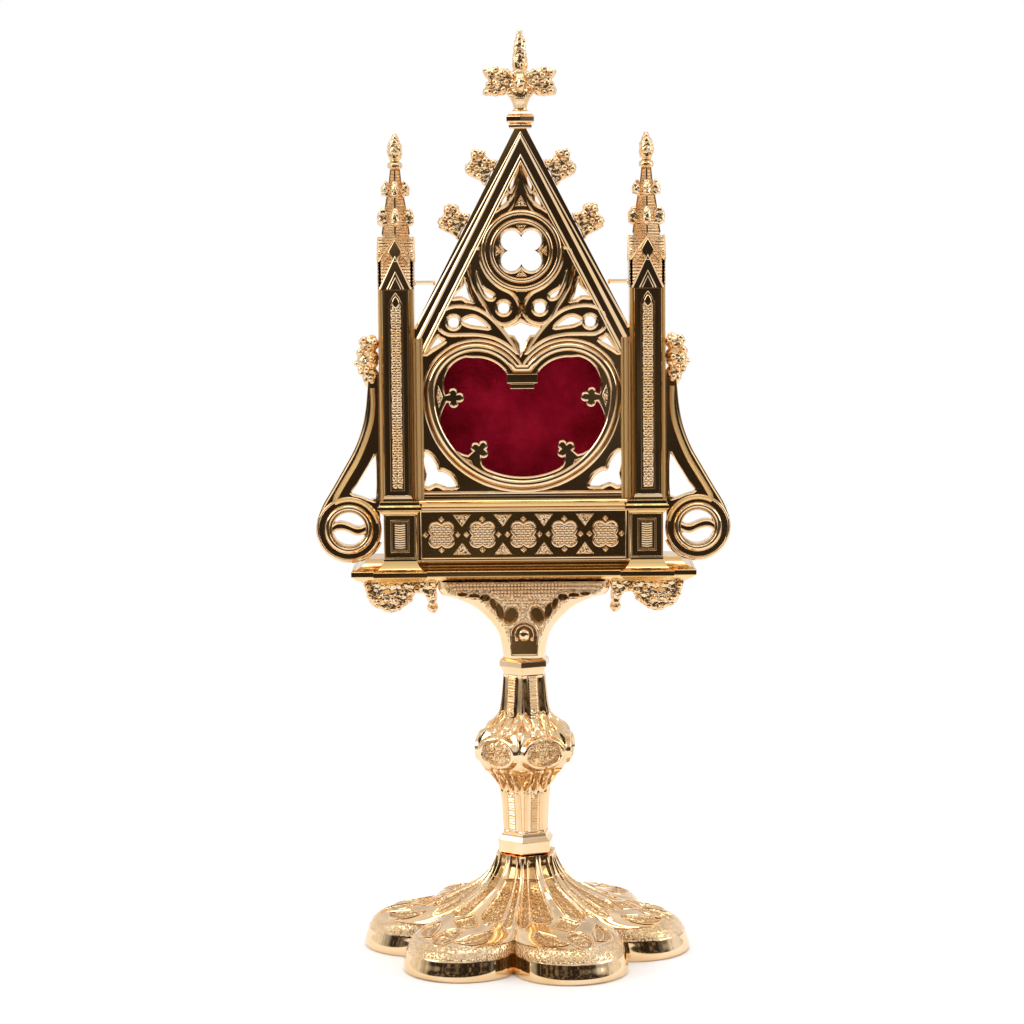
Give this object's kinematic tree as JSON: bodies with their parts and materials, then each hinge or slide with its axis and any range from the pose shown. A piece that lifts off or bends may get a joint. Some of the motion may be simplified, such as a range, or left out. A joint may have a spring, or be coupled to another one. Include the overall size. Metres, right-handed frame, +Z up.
{
  "type": "reliquary",
  "caption": "Gothic altar reliquary in gilt brass: a glazed relic window in a traceried gable front, carried by a console and a knopped stem on a six-lobed foot.",
  "frame": {"origin": "on the surface it stands on, under the middle of the foot", "axes": "+Z up the stem, -Y out of the window side, +X to the right as seen from the front"},
  "size_m": [0.1434, 0.1088, 0.32],
  "materials": {
    "gilt_brass": "polished and gold plated, with stippled and leaf-textured fields",
    "glass": "clear polished pane",
    "velvet": "crimson velvet with a short mottled pile"
  },
  "bodies": {
    "root": {"foot": "gilt_brass", "foot_collar": "gilt_brass", "stem": "gilt_brass", "head_collar": "gilt_brass", "console": "gilt_brass", "plinth": "gilt_brass", "shrine_front": "gilt_brass", "chamber_drum": "gilt_brass", "glass_pane": "glass", "velvet_panel": "velvet", "chamber_cover": "gilt_brass", "pillar_left": "gilt_brass", "pillar_right": "gilt_brass", "pinnacle_left": "gilt_brass", "pinnacle_right": "gilt_brass", "wing_left": "gilt_brass", "wing_right": "gilt_brass", "crocket_low_left": "gilt_brass", "crocket_low_right": "gilt_brass", "crocket_high_left": "gilt_brass", "crocket_high_right": "gilt_brass", "tie_rod_left": "gilt_brass", "tie_rod_right": "gilt_brass", "finial_collar": "gilt_brass", "finial": "gilt_brass"}
  },
  "joints": []
}
